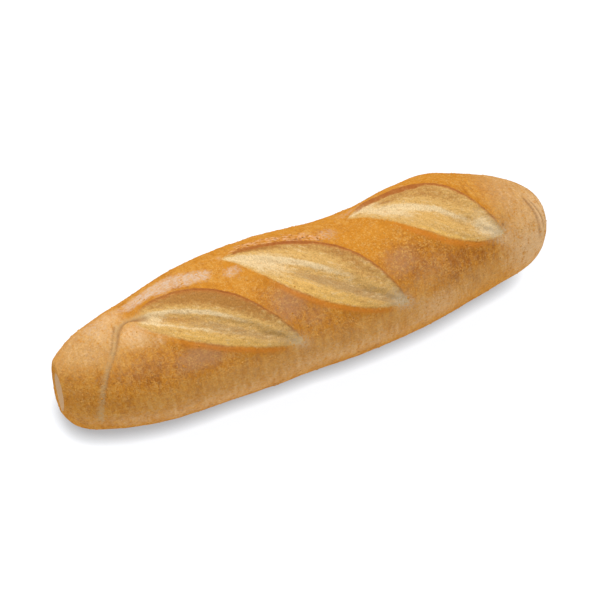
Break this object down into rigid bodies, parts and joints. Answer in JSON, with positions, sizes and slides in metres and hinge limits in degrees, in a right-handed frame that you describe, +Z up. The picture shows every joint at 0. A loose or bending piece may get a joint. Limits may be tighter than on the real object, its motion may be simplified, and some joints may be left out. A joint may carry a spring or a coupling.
{
  "type": "mini baguette",
  "caption": "Short crusty loaf of white bread with diagonal slashes across its top and a flat base to rest on.",
  "frame": {"origin": "middle of the loaf's footprint, on the surface it rests on", "axes": "+X along the loaf, +Y to the side where the slashes start and their raised lips stand, +Z up"},
  "size_m": [0.2184, 0.0672, 0.0512],
  "materials": {
    "crust": "baked bread crust, golden brown and faintly glossy, paler in the slashes"
  },
  "bodies": {
    "root": {"loaf": "crust"}
  },
  "joints": []
}
